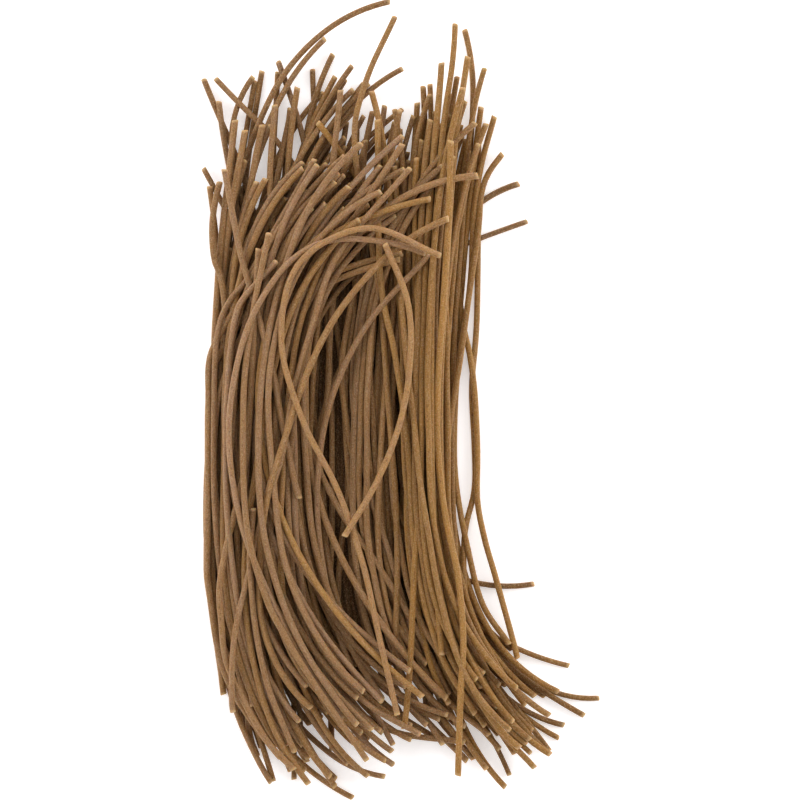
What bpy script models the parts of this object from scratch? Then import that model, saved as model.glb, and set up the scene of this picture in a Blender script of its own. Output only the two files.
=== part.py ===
"""A bundle of dry wholewheat spaghetti lying on a table, as one solid out to its uneven outline.

The solid is built as the bundle lies: locks of strands side by side, each lock a domed ridge that follows
the strands' run, with loose strands standing out of both ends and the right side. The ridges are fused into
one body and lie on a flat base. +Y runs along the bundle, +Z is up, and the origin is the middle of the base.
"""

import math

import bmesh
import bpy
from mathutils import Vector

# The strands, in metres.
STRAND_LENGTH = 0.252
STRAND_DIAMETER = 0.0024

# The whole bundle, in metres.
BUNDLE_WIDTH = 0.160
BUNDLE_LENGTH = 0.320
WAIST_Y = -0.020  # where every lock runs straight along Y

LEAN_POWER = 1.8  # how late a lock's lean sets in, towards its ends

# A lock's section is half an ellipse on the table, narrower and lower at its cut ends.
LOCK_HALF_WIDTH = 0.0078
LOCK_END_WIDTH_SHARE = 0.62
LOCK_END_HEIGHT_SHARE = 0.50
LOCK_END_RUN = 0.30  # share of the lock's length over which each end thins out

# A loose strand is told apart from the bundle over this length, and is two strands thick so that it holds.
LOOSE_REACH = 0.110
LOOSE_HALF_WIDTH = STRAND_DIAMETER
LOOSE_HEIGHT = 2 * STRAND_DIAMETER

RING_SIDES = 14
LOCK_STEPS = 30
LOOSE_STEPS = 40
FUSE_VOXEL = 0.0015
SMOOTH_ROUNDS = 3
FACES_KEPT = 9000
BASE_DEPTH = 0.05

# Each family of locks, from its left lock to its right one, in millimetres and degrees:
# waist: where the lock crosses the waist; rise: how far it is slid up from the middle of its length;
# head and foot: how far its two ends lean to the right; crown: its height at the waist.
LOCK_FAMILIES = {
    "left_edge": dict(
        locks=3, waist=(-67, -60), rise=(-4, 10), head=(10, 40), foot=(24, 34), crown=(15, 20),
    ),
    "left_sweep": dict(
        locks=6, waist=(-61, -34), rise=(0, -14), head=(34, 72), foot=(34, 56), crown=(23, 28),
    ),
    "left_fan": dict(
        locks=3, waist=(-56, -40), rise=(14, 12), head=(8, 30), foot=(14, 30), crown=(15, 19),
    ),
    "middle_fall": dict(
        locks=5, waist=(-32, -4), rise=(6, 8), head=(44, 24), foot=(44, 46), crown=(18, 13),
    ),
    "right_straight": dict(
        locks=4, waist=(-2, 17), rise=(14, 18), head=(8, 8), foot=(40, 38), crown=(17, 17),
    ),
    "right_foot": dict(
        locks=4, waist=(0, 16), rise=(-16, -10), head=(0, 2), foot=(68, 62), crown=(15, 13),
    ),
}

# Where a loose strand's headings are read, as shares of its length from its tip.
HEADING_STATIONS = (0.0, 0.10, 0.25, 0.50, 1.0)

# Each loose strand: its tip, then its heading at those stations, in millimetres and in degrees
# anticlockwise from +X. Those in WHOLE_LOOSE_STRANDS stand clear of the bundle along their whole length.
LOOSE_STRANDS = {
    "high_arc": ((-3, 158), (192, 214, 244, 263, 275)),
    "high_long": ((-1, 151), (238, 254, 267, 269, 278)),
    "high_side": ((1, 133), (208, 227, 243, 258, 272)),
    "high_middle": ((-27, 139), (243, 256, 264, 268, 280)),
    "high_pair": ((-22, 129), (238, 246, 256, 265, 280)),
    "left_outer": ((-78, 128), (292, 293, 284, 273, 270)),
    "left_cross": ((-74, 129), (312, 318, 284, 272, 268)),
    "left_fork": ((-59, 130), (234, 266, 300, 280, 270)),
    "left_spike": ((-49, 136), (290, 286, 270, 262, 270)),
    "left_shoulder": ((-79, 93), (300, 296, 285, 272, 270)),
    "left_bow": ((-73, 83), (258, 272, 282, 272, 270)),
    "right_spike": ((22, 150), (268, 261, 266, 269, 275)),
    "right_bent": ((26, 149), (286, 270, 262, 268, 275)),
    "right_lean": ((34, 133), (253, 259, 263, 268, 278)),
    "right_side": ((38, 114), (259, 264, 267, 271, 298)),
    "right_upper": ((48, 87), (197, 225, 243, 258, 272)),
    "right_crossing": ((51, 72), (198, 201, 227, 258, 275)),
    "high_upright": ((12, 127), (272, 268, 268, 268, 270)),
    "high_stub": ((2, 120), (232, 240, 252, 262, 270)),
    "right_twin": ((25, 137), (264, 262, 266, 268, 275)),
    "foot_plumb": ((24, -149), (88, 89, 88, 84, 96)),
    "foot_flat": ((54, -74), (190, 165, 122, 99, 92)),
    "foot_upper": ((68, -107), (166, 154, 126, 99, 90)),
    "foot_far": ((80, -120), (184, 150, 116, 96, 90)),
    "foot_far_low": ((74, -127), (151, 147, 122, 98, 90)),
    "foot_corner": ((66, -131), (168, 140, 118, 98, 90)),
    "foot_right_end": ((60, -141), (126, 132, 116, 98, 90)),
    "foot_right_low": ((44, -151), (112, 124, 114, 98, 90)),
    "foot_long_arc": ((-19, -160), (154, 138, 113, 95, 82)),
    "foot_curl": ((-6, -151), (172, 142, 122, 102, 84)),
    "foot_spike": ((-51, -153), (105, 110, 103, 93, 84)),
    "foot_fork": ((-44, -149), (111, 114, 106, 96, 84)),
    "foot_inner": ((-59, -143), (97, 102, 97, 90, 84)),
    "foot_slant": ((-67, -124), (88, 82, 76, 78, 84)),
    "foot_edge": ((-74, -118), (97, 92, 90, 84, 80)),
}

WHOLE_LOOSE_STRANDS = ("right_side",)


def millimetres(x, y):
    """The point at x and y millimetres on the table."""
    return Vector((x, y, 0.0)) * 0.001


def heading_at(share, headings):
    """The heading at a share of the run, turning evenly from each station's heading to the next one's."""
    stations = list(zip(HEADING_STATIONS, headings))
    for (before, start), (after, end) in zip(stations, stations[1:]):
        if share <= after:
            return start + (end - start) * (share - before) / (after - before)
    return headings[-1]


def walk(start, headings, length, steps, shown=1.0):
    """The points of a run from start, in even steps along its headings, over the share that is shown."""
    points = [start.copy()]
    for step in range(round(steps * shown)):
        turn = math.radians(heading_at((step + 0.5) / steps, headings))
        points.append(points[-1] + Vector((math.cos(turn), math.sin(turn), 0.0)) * (length / steps))
    return points


def lean_run(waist, rise, head, foot):
    """A lock's run from foot to head: straight at the waist, and leaning ever more towards both ends."""
    middle = millimetres(waist, 0) + Vector((0.0, WAIST_Y, 0.0))
    reach_up = STRAND_LENGTH / 2 + rise * 0.001
    half = LOCK_STEPS // 2
    up = walk(middle, [90 - head * share**LEAN_POWER for share in HEADING_STATIONS], reach_up, half)
    down_reach = STRAND_LENGTH - reach_up
    down = walk(middle, [270 + foot * share**LEAN_POWER for share in HEADING_STATIONS], down_reach, half)
    return down[:0:-1] + up


def add_ridge(mesh, points, half_widths, heights):
    """Adds a closed tube round the points, of elliptical section, centred on the table."""
    rings = []
    for i, point in enumerate(points):
        before = points[max(i - 1, 0)]
        after = points[min(i + 1, len(points) - 1)]
        along = (after - before).normalized()
        across = Vector((along.y, -along.x, 0.0))
        ring = []
        for side in range(RING_SIDES):
            turn = 2 * math.pi * side / RING_SIDES
            corner = across * (half_widths[i] * math.cos(turn))
            corner.z = heights[i] * math.sin(turn)
            ring.append(mesh.verts.new(point + corner))
        rings.append(ring)
    for ring, following in zip(rings, rings[1:]):
        for side in range(RING_SIDES):
            beside = (side + 1) % RING_SIDES
            mesh.faces.new((ring[side], ring[beside], following[beside], following[side]))
    mesh.faces.new(rings[0][::-1])
    mesh.faces.new(rings[-1])


def end_taper(share, end_value):
    """1 along the middle of a lock, falling smoothly to end_value at its two ends."""
    inwards = min(share, 1 - share) / LOCK_END_RUN
    if inwards >= 1:
        return 1.0
    return end_value + (1 - end_value) * math.sin(inwards * math.pi / 2)


def add_locks(mesh, locks, waist, rise, head, foot, crown):
    """Adds one family of locks, each value going evenly from the left lock's to the right one's."""
    for i in range(locks):
        share = i / (locks - 1)
        values = [low + (high - low) * share for low, high in (waist, rise, head, foot, crown)]
        points = lean_run(*values[:4])
        shares = [j / (len(points) - 1) for j in range(len(points))]
        half_widths = [LOCK_HALF_WIDTH * end_taper(s, LOCK_END_WIDTH_SHARE) for s in shares]
        heights = [values[4] * 0.001 * end_taper(s, LOCK_END_HEIGHT_SHARE) for s in shares]
        add_ridge(mesh, points, half_widths, heights)


def add_loose_strand(mesh, tip, headings, shown):
    """Adds one loose strand as a low ridge from its tip, over the share of its length that stands clear."""
    points = walk(millimetres(*tip), headings, STRAND_LENGTH, LOOSE_STEPS, shown)
    count = len(points)
    add_ridge(mesh, points, [LOOSE_HALF_WIDTH] * count, [LOOSE_HEIGHT] * count)


def new_object(name, mesh):
    made = bpy.data.objects.new(name, mesh)
    bpy.context.scene.collection.objects.link(made)
    return made


def ridges():
    """Every lock and loose strand as overlapping closed tubes in one mesh."""
    built = bmesh.new()
    for family in LOCK_FAMILIES.values():
        add_locks(built, **family)
    for name, (tip, headings) in LOOSE_STRANDS.items():
        shown = 1.0 if name in WHOLE_LOOSE_STRANDS else LOOSE_REACH / STRAND_LENGTH
        add_loose_strand(built, tip, headings, shown)
    bmesh.ops.recalc_face_normals(built, faces=built.faces)
    mesh = bpy.data.meshes.new("ridges")
    built.to_mesh(mesh)
    built.free()
    return mesh


def below_table():
    """The block under the table's surface, which cuts the flat base."""
    built = bmesh.new()
    bmesh.ops.create_cube(built, size=1.0)
    for vert in built.verts:
        vert.co.x *= 2 * BUNDLE_WIDTH
        vert.co.y *= 2 * BUNDLE_LENGTH
        vert.co.z = (vert.co.z - 0.5) * BASE_DEPTH
    mesh = bpy.data.meshes.new("below_table")
    built.to_mesh(mesh)
    built.free()
    cutter = new_object("below_table", mesh)
    cutter.hide_render = True
    cutter.display_type = "WIRE"
    return cutter


def evaluated_mesh(made):
    graph = bpy.context.evaluated_depsgraph_get()
    return bpy.data.meshes.new_from_object(made.evaluated_get(graph), depsgraph=graph)


def fused(rough):
    """The ridges as one skin, thinned to about FACES_KEPT faces and cut flat at the table."""
    fuse = rough.modifiers.new("fuse", "REMESH")
    fuse.mode = "VOXEL"
    fuse.voxel_size = FUSE_VOXEL
    smooth = rough.modifiers.new("soften", "SMOOTH")
    smooth.iterations = SMOOTH_ROUNDS
    triangles = 2 * len(evaluated_mesh(rough).polygons)  # the skin is all four-sided here
    thin = rough.modifiers.new("thin", "DECIMATE")
    thin.ratio = FACES_KEPT / triangles
    base = rough.modifiers.new("base", "BOOLEAN")
    base.operation = "DIFFERENCE"
    base.object = below_table()
    return evaluated_mesh(rough)


def fit_to_size(mesh):
    """Centres the mesh on the origin and brings its sides to the bundle's stated width and length."""
    corners = [v.co for v in mesh.vertices]
    lows = [min(c[axis] for c in corners) for axis in range(3)]
    highs = [max(c[axis] for c in corners) for axis in range(3)]
    scales = (BUNDLE_WIDTH / (highs[0] - lows[0]), BUNDLE_LENGTH / (highs[1] - lows[1]))
    for vert in mesh.vertices:
        for axis in range(2):
            vert.co[axis] = (vert.co[axis] - (lows[axis] + highs[axis]) / 2) * scales[axis]


def pasta_material():
    material = bpy.data.materials.new("wholewheat_pasta")
    material.use_nodes = True
    shader = material.node_tree.nodes["Principled BSDF"]
    shader.inputs["Base Color"].default_value = (0.292, 0.168, 0.078, 1.0)
    shader.inputs["Roughness"].default_value = 0.62
    shader.inputs["Metallic"].default_value = 0.0
    return material


def main():
    for old in list(bpy.data.objects):
        bpy.data.objects.remove(old)
    rough = new_object("ridges", ridges())
    mesh = fused(rough)
    bpy.data.objects.remove(rough)
    fit_to_size(mesh)
    mesh.materials.clear()
    mesh.materials.append(pasta_material())
    bundle = new_object("spaghetti_bundle", mesh)
    bundle.data.shade_smooth()


main()
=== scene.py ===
"""The looks of a bundle of dry wholewheat spaghetti: every strand is laid, settled and skinned.

Strands are drawn flat, tress by tress and then one by one where they stand out. They are laid from the
lowest to the highest, pushed apart where they touch, and left to sink onto each other, onto a smaller
core and onto the table. Lengths are in millimetres until a mesh is made.
"""

import math

import bmesh
import bpy
import numpy as np
from mathutils import Matrix, Vector


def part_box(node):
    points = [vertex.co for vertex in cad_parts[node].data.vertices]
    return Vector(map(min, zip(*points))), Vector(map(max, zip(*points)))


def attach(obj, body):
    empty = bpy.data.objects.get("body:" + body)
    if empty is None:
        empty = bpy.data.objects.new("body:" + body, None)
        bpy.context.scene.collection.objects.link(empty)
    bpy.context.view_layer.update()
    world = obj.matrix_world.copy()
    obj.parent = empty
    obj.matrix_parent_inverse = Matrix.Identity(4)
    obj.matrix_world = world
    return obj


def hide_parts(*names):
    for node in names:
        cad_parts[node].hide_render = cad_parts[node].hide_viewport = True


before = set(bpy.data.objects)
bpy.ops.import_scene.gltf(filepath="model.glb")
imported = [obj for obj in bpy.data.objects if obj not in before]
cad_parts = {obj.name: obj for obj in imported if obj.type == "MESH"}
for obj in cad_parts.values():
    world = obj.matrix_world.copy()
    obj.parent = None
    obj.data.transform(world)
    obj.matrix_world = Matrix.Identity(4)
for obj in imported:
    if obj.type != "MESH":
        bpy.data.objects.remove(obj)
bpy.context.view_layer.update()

MM = 0.001
SEED = 7

# The strand.
STRAND_LENGTH = 252.0
STRAND_THICKNESS = 2.4
THICKNESS_WANDER = 0.04  # share by which one strand differs from the next
THICKNESS_LOWEST = 0.96  # share of that thickness in the lowest strands
THICKNESS_RISE = 0.10  # and how much thicker the highest are
STRAND_POINTS = 64

# Where the bundle lies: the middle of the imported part's box, on the table under it.
BOX_LOW, BOX_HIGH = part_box("spaghetti_bundle")
CENTRE_X = (BOX_LOW.x + BOX_HIGH.x) / 2 / MM
CENTRE_Y = (BOX_LOW.y + BOX_HIGH.y) / 2 / MM
TABLE_Z = BOX_LOW.z / MM

WAIST_Y = -20.0  # every tress runs straight along Y here

# Each tress: how many strands, and from its left strand to its right one the place where it crosses the
# waist (mm), how far it is slid up (mm) and how far its head and its foot lean right (degrees). Level is
# how late its strands are laid, from 0, on the table, to 1, on top. Share is a strand's length as a share
# of a whole one, and tilt (degrees) how unevenly the tress is turned.
TRESSES = {
    "bed_right": dict(
        strands=11, waist=(5, 16.5), rise=(18, 4), head=(2, 12), foot=(44, 62),
        level=(0.0, 0.35), share=(0.84, 1.0),
    ),
    "bed_middle": dict(
        strands=6, waist=(-20, -3), rise=(10, -6), head=(24, 10), foot=(46, 62),
        level=(0.0, 0.3), share=(0.84, 1.0),
    ),
    "bed_left": dict(
        strands=18, waist=(-71, -43), rise=(-14, 6), head=(8, 46), foot=(36, 62),
        level=(0.0, 0.4), share=(0.80, 0.96),
    ),
    "bed_fan": dict(
        strands=6, waist=(-62, -44), rise=(20, 12), head=(-10, 18), foot=(26, 40),
        level=(0.05, 0.4),
    ),
    "bed_brush": dict(
        strands=10, waist=(-60, -40), rise=(24, 14), head=(44, 36), foot=(40, 56),
        level=(0.1, 0.5),
    ),
    "right_straight": dict(
        strands=22, waist=(3, 16.5), rise=(16, 2), head=(3, 10), foot=(40, 54),
        level=(0.40, 0.65), share=(0.92, 1.0),
    ),
    "right_foot": dict(
        strands=9, waist=(6, 19), rise=(-14, -2), head=(2, 6), foot=(52, 60),
        level=(0.4, 0.6),
    ),
    "middle_lean": dict(
        strands=5, waist=(-17, -5), rise=(12, 14), head=(40, 28), foot=(46, 60),
        level=(0.66, 0.8), share=(0.9, 1.0),
    ),
    "left_sweep": dict(
        strands=47, waist=(-73, -42), rise=(-4, -6), head=(36, 62), foot=(32, 66),
        level=(0.50, 0.95), share=(0.86, 1.0), tilt=4.5,
    ),
}

# How unevenly the strands of a tress lie, as standard deviations, and where a chance is cut off.
WAIST_WANDER = 1.5
RISE_WANDER = 10
HEAD_WANDER = 10
FOOT_WANDER = 6
WANDER_LIMIT = 1.6
LEAN_POWER = (1.4, 2.4)  # the higher, the nearer to the strand's end it leans
OWN_BENDS = ((150.0, 1.4), (80.0, 1.2), (45.0, 0.7))  # wavelengths in mm, and sizes in degrees

# Where a strand's five headings are read, as shares of its length from its tip. Nine are evenly spaced.
HEADING_STATIONS = (0.0, 0.10, 0.25, 0.50, 1.0)

# Each strand laid one by one: its tip (mm from the middle of the bundle), its headings from there (degrees
# anticlockwise from +X), its level, its share of a whole strand's length and, where it shows, its other
# end.
LAID_BY_HAND = {
    "high_arc": ((-4, 160), (192, 214, 244, 263, 275), 0.42, 1),
    "high_arc_partner": ((-30, 145), (222, 240, 258, 266, 275), 0.44, 1),
    "high_side": ((1, 133), (208, 227, 243, 258, 272), 0.36, 1),
    "high_middle": ((-27, 139), (243, 256, 264, 268, 280), 0.25, 1),
    "high_pair": ((-22, 129), (238, 246, 256, 265, 280), 0.33, 1),
    "high_pair_partner": ((-26, 130), (242, 250, 258, 266, 280), 0.27, 1),
    "high_upright": ((12, 127), (272, 268, 268, 268, 276), 0.35, 1),
    "high_upright_partner": ((9, 126), (274, 270, 267, 268, 276), 0.28, 1),
    "left_outer": ((-79, 129), (292, 293, 284, 273, 270), 0.22, 1),
    "left_cross": ((-74, 129), (312, 318, 284, 272, 268), 0.34, 1),
    "left_fork": ((-59, 130), (234, 266, 300, 280, 270), 0.26, 1),
    "left_spike": ((-49, 136), (290, 286, 270, 262, 270), 0.31, 1),
    "left_shoulder": ((-79, 93), (300, 296, 285, 272, 270), 0.20, 1),
    "right_spike": ((22, 150), (268, 261, 266, 269, 275), 0.62, 1),
    "right_bent": ((26, 149), (286, 270, 262, 268, 275), 0.50, 1),
    "right_lean": ((34, 133), (253, 259, 263, 268, 278), 0.56, 1),
    "right_upper": ((48, 87), (197, 225, 243, 258, 272), 0.24, 1),
    "right_crossing": ((51, 72), (198, 201, 227, 258, 275), 0.38, 1),
    "foot_flat": ((54, -74), (190, 165, 122, 99, 92), 0.15, 1),
    "foot_upper": ((68, -107), (166, 154, 126, 99, 90), 0.18, 1),
    "foot_far": ((80, -120), (184, 150, 116, 96, 90), 0.12, 1),
    "foot_far_low": ((74, -127), (151, 147, 122, 98, 90), 0.16, 1),
    "foot_corner": ((66, -131), (168, 140, 118, 98, 90), 0.20, 1),
    "foot_right_end": ((60, -141), (126, 132, 116, 98, 90), 0.22, 1),
    "foot_right_low": ((44, -151), (112, 124, 114, 98, 90), 0.14, 1),
    "foot_long_arc": ((-19, -160), (154, 138, 113, 95, 82), 0.58, 1, (-68, 61)),
    "foot_curl": ((-6, -151), (172, 142, 122, 102, 84), 0.60, 1, (-65, 51)),
    "foot_spike": ((-51, -153), (105, 110, 103, 93, 70), 0.72, 1, (-47, 87)),
    "foot_fork": ((-44, -149), (111, 114, 106, 96, 70), 0.74, 1, (-46, 73)),
    "foot_inner": ((-59, -143), (97, 102, 97, 90, 84), 0.16, 1),
    "foot_slant": ((-67, -124), (88, 82, 76, 78, 84), 0.66, 1),
    "foot_edge": ((-74, -118), (97, 92, 90, 84, 80), 0.10, 1),
    "edge_stub": ((-77, -62), (92, 88, 86, 84, 80), 0.12, 0.76),
    "sweep_long": ((-22, 97), (221, 229, 242, 256, 266, 276, 288, 300, 312), 0.96, 1, (-11, -131)),
    "sweep_second": ((-24, 90), (228, 243, 236, 246, 262, 276, 290, 302, 312), 0.93, 1, (-19, -134)),
    "sweep_high": ((1, 105), (218, 230, 240, 248, 260, 276, 290, 302, 312), 0.86, 1, (-7, -120)),
    "sweep_inner": ((-7, 93), (230, 238, 240, 246, 262, 278, 292, 304, 312), 0.90, 1, (4, -108)),
    "sweep_low": ((-28, 71), (222, 228, 236, 246, 262, 278, 290, 300, 306), 0.88, 1, (-36, -143)),
    "golden_reach": ((31, 89), (184, 208, 228, 248, 262, 276, 288, 300, 310), 0.94, 1, (19, -119)),
    "golden_second": ((12, 80), (190, 203, 228, 248, 264, 276, 290, 302, 310), 0.90, 1, (9, -118)),
    "left_head_short": ((-50, 54), (226, 236, 250, 262, 272, 282, 292, 302, 310), 0.97, 0.86),
    "fan_slant": ((-33, 111), (310, 303, 288, 270, 264), 0.60, 1),
    "fan_thick": ((-55, 110), (256, 262, 266, 270, 276), 0.70, 1),
    "low_arc": ((1, 58), (188, 204, 228, 248, 264, 278, 290, 302, 310), 0.80, 1, (-38, -142)),
    "low_arc_partner": ((0, 56), (194, 207, 226, 248, 264, 278, 290, 300, 308), 0.78, 1, (-50, -135)),
    "arch_inner": ((10, 58), (158, 180, 228, 250, 265, 278, 288, 296, 302), 1.12, 1, (-23, -127)),
}

# Each strand drawn through points: its level, then the points (mm) from its head to its foot.
THREADED_STRANDS = {
    # The arch, the hook, the curtain and the strands over the valley in the middle.
    "arch_outer": (1.16, (16, 57), (-13, 68), (-40, 54), (-47, 24), (-39, -7), (-25, -35), (-15, -64),
        (-8, -95), (-1, -125)),
    "cross_left": (1.00, (12, 58), (-13, 30), (-28, -2), (-33, -37), (-30, -72), (-20, -106), (-3, -138)),
    "cross_right": (0.72, (-50, 118), (-52, 86), (-49, 54), (-46, 22), (-40, -9), (-26, -41), (-9, -66),
        (6, -91), (18, -119)),
    "high_long": (0.76, (-2, 153), (-14, 126), (-18, 100), (-9, 48), (-5, 2), (-1, -60), (-2, -104)),
    "broken_hook": (1.24, (-6, 62), (3, 39), (4, 15), (0, -9), (-9, -32), (-22, -54)),
    "curtain": (0.99, (1, 102), (-26, 58), (-38, 14), (-37, -32), (-33, -63), (-22, -96), (-7, -120)),
    "valley_left": (0.48, (-11, 116), (-26, 46), (-29, 3), (-32, -20), (-31, -48), (-26, -80),
        (-14, -116)),
    "valley_first": (0.68, (-2, 112), (-13, 64), (-21, 30), (-23, 3), (-15, -40), (-7, -69), (19, -119)),
    "valley_second": (0.64, (-6, 118), (-14, 48), (-19, 3), (-12, -37), (-5, -60), (6, -96), (20, -128)),
    "valley_third": (0.60, (0, 116), (-6, 80), (-11, 23), (-13, -8), (-9, -42), (-1, -76), (12, -105),
        (28, -128)),
    "valley_right": (0.84, (-9, 112), (-8, 50), (-2, 18), (3, -16), (7, -64), (16, -100), (30, -125)),
    # Along the left edge and on top of the left sweep.
    "edge_short": (0.80, (-62, 108), (-70, 58), (-74, 4), (-77, -24), (-77, -44), (-78, -62)),
    "edge_long": (0.84, (-66, 112), (-72, 56), (-75, 0), (-76, -40), (-76, -80), (-75, -96), (-74, -118)),
    "left_bend": (1.00, (-34, 96), (-49, 68), (-61, 47), (-67, 40), (-72, 28), (-74, 4), (-74, -40),
        (-69, -84), (-57, -122)),
    "left_tip": (1.02, (-49, 55), (-58, 45), (-64, 37), (-67, 22), (-69, -10), (-68, -54), (-61, -98),
        (-46, -134)),
    "left_slant": (0.98, (-70, 92), (-64, 61), (-59, 43), (-51, 13), (-48, -3), (-42, -32), (-40, -39)),
    "long_slant": (1.06, (4, 92), (-24, 59), (-35, 29), (-42, 4), (-47, -22), (-54, -44), (-61, -72),
        (-66, -96), (-67, -124)),
    "left_curl": (1.00, (-56, 60), (-58, 20), (-60, -10), (-62, -29), (-71, -69), (-71, -88), (-68, -107),
        (-54, -134), (-42, -147)),
    "sweep_slant": (1.04, (-52, 66), (-59, 30), (-62, 0), (-61, -48), (-53, -78), (-45, -94), (-35, -110),
        (-13, -143)),
    # In the notch between the two feet, and low in the valley.
    "notch_first": (0.58, (-14, 104), (-18, 40), (-22, 0), (-18, -50), (-8, -84), (6, -112), (22, -130)),
    "notch_second": (0.52, (-8, 104), (-13, 40), (-12, 0), (-8, -50), (2, -90), (18, -118), (36, -134)),
    "notch_third": (0.62, (-30, 80), (-40, 20), (-42, -20), (-36, -64), (-22, -98), (-4, -118),
        (16, -128)),
    "notch_fourth": (0.70, (-38, 84), (-47, 20), (-49, -20), (-45, -64), (-32, -98), (-14, -120),
        (8, -133)),
    "valley_floor": (0.08, (-22, 112), (-31, 50), (-34, 0), (-33, -40), (-27, -80), (-12, -122)),
    # Beside the two edges, where strands weave in and out.
    "left_bow": (0.90, (-72, 87), (-74, 78), (-75, 68), (-74, 56), (-71, 47), (-69, 24), (-68, -40),
        (-66, -84), (-58, -122)),
    "right_side": (0.66, (38, 114), (33, 95), (30, 74), (29, 52), (26, 30), (24, 19), (22, -2), (22, -30),
        (27, -60), (33, -82), (44, -98)),
    "right_weave": (0.62, (21, 120), (22, 60), (25, 32), (28, 18), (30, 2), (31, -20), (31, -40),
        (34, -56), (38, -70), (44, -92), (47, -104)),
    "right_hook": (0.55, (41, 99), (35, 91), (32, 82), (31, 68), (28, 46), (24, 16), (19, -16), (17, -56),
        (22, -98), (32, -122)),
    "left_edge_head": (0.70, (-62, 96), (-68, 74), (-72, 48), (-74, 20), (-74, -20), (-73, -60),
        (-68, -100), (-56, -140)),
    "right_drop": (0.60, (31, 104), (31, 36), (29, 6), (30, -18), (30, -36), (26, -54), (26, -80),
        (31, -108), (42, -136)),
    "foot_plumb": (1.00, (20, 103), (19, 70), (17, 36), (15, 6), (15, -20), (18, -46), (23, -70),
        (25, -94), (24, -116), (23, -149)),
    "right_tip": (0.74, (27, 137), (25, 124), (22, 104), (19, 60), (16, 0), (17, -50), (24, -100)),
    # Ends that close the notch and the right foot.
    "notch_fifth": (0.50, (-42, 70), (-48, 10), (-49, -40), (-42, -84), (-24, -116), (-4, -132),
        (26, -137)),
    "notch_sixth": (0.56, (-26, 90), (-34, 20), (-36, -30), (-32, -74), (-20, -104), (-6, -122),
        (15, -136)),
    "foot_fill_low": (0.47, (4, 96), (-3, 20), (-5, -40), (0, -90), (12, -122), (30, -144)),
    "foot_fill_last": (0.46, (-1, 96), (-8, 20), (-10, -40), (-5, -90), (6, -122), (27, -145)),
    "foot_fill": (0.45, (2, 92), (-6, 20), (-8, -30), (-2, -80), (10, -116), (24, -138)),
    "foot_fill_left": (0.50, (-6, 84), (-12, 10), (-13, -40), (-6, -90), (6, -120), (17, -138)),
    "foot_fill_right": (0.50, (10, 100), (6, 20), (8, -40), (18, -92), (34, -124), (54, -147)),
    "foot_fill_end": (0.45, (12, 96), (9, 20), (11, -40), (20, -90), (32, -120), (46, -142)),
    "foot_fill_middle": (0.48, (8, 104), (3, 30), (4, -40), (13, -92), (26, -122), (40, -140)),
    "inner_tip": (0.97, (-58, -43), (-59, -60), (-58, -84), (-53, -112), (-42, -140)),
}

HAND_BENDS = 0.4  # share of a strand's own bends that one laid singly has
EASING_POWER = 1.7  # how late such a strand swings over to its other end

# No strand reaches past the bundle's left outline, given as (y, x), and it bends away over this distance.
LEFT_OUTLINE = (
    (-165.0, -50.0), (-140.0, -60.0), (-118.0, -71.0), (-70.0, -77.0),
    (0.0, -76.0), (60.0, -80.0), (130.0, -84.0),
)
EDGE_GIVE = 5.0

# The core, which stands for the strands buried at the bottom of the bundle.
CORE_WAIST = (-62.0, 12.0)
CORE_HEAD = (24.0, 10.0)
CORE_FOOT = (20.0, 46.0)
CORE_LENGTH = 176.0
CORE_HEIGHT = 3.2
CORE_EDGE = 7.0  # how far in from its edge the core has its full height
CORE_RIM = 0.4  # its height at the edge
CORE_SOLE = 0.2  # the height of its underside under the highest ridge
CORE_SOLE_SHARE = 0.25  # how much of the ridges shows underneath
CORE_POWER = 1.8
CORE_ROWS = 60
POINTS_PER_RIDGE = 6

# How the strands settle.
GROUND_CELL = 1.0
GROUND_MARGIN = 40  # round the bundle's box
GROUND_SAMPLES = 6  # for each row of the core
HEAP_REACH = 7.0  # how far to each side a strand feels what lies under it at the start
ROUNDS = 300
QUIET_ROUNDS = 50  # the last rounds, with no weight, in which the strands only move apart
SINK_PER_ROUND = 0.03
STIFFNESS = 1500.0
STIFF_SHARE = (0.25, 0.05)  # of the bend taken out in each round, while sinking and while quiet
PUSHES_PER_ROUND = 3
PUSH_LIMIT = 0.8
PUSH_GAIN = 1.3
LEAST_WEIGHT = 0.6  # of the pushes on a point, so that a light one moves it less
PAIR_SLACK = 0.8  # how far strands may move before the pairs are found again
SAMPLE_SLACK = 0.5  # because pairs are found from two samples on each segment
SEGMENT_END = 0.01  # the share of a segment that counts as its end
SUNK_THROUGH = 0.45  # share of the wanted gap within which a strand found under a lower one is over it
LAID_OVER_ALL = 1.1  # a level
PACKED_SHARE = 0.62  # of the heap's section that is pasta when the strands start to sink
LAST_STIFFNESS = 40.0  # of the last, gentle straightening
BEDDED_SHARE = 0.8  # of the core's height that holds the strands up after it
HOLD_TRESS = 0.010  # share by which a strand is drawn back to its flat path in each round
HOLD_BY_HAND = 0.050

# The pasta's colours, from its greyest strands to its most golden, and its specks and cut ends.
TINT_STOPS = ((0.0, "#96775A"), (0.35, "#967247"), (0.65, "#A0793F"), (1.0, "#A97D39"))
BRAN = "#503116"
FLOUR = "#CFB496"
CUT_END = "#CFB286"
FLOUR_SHARE = 2.7  # how strongly the grain lightens the skin
HOLLOW_SHARE = 2.0  # and darkens it
GOLDEN_FROM = -12  # the tint rises from here to the right, where the tress is more golden
GOLDEN_OVER = 26
TINT_LEFT = 0.30
TINT_RISE = 0.36
TINT_WANDER = 0.11
# Painted shade: each strand's colour is painted darker the lower it is laid, and its tone wanders a little
# at random.
PAINTED_SHADE_LOWEST = 0.73
PAINTED_SHADE_RISE = 0.32
SHADE_WANDER = 0.06
# The core's tint, painted shade and distance from a cut end: it is painted far darker than any strand, as
# it lies in deep shade.
CORE_LOOKS = {"tint": 0.4, "shade": 0.35, "from_end": 50.0}

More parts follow.
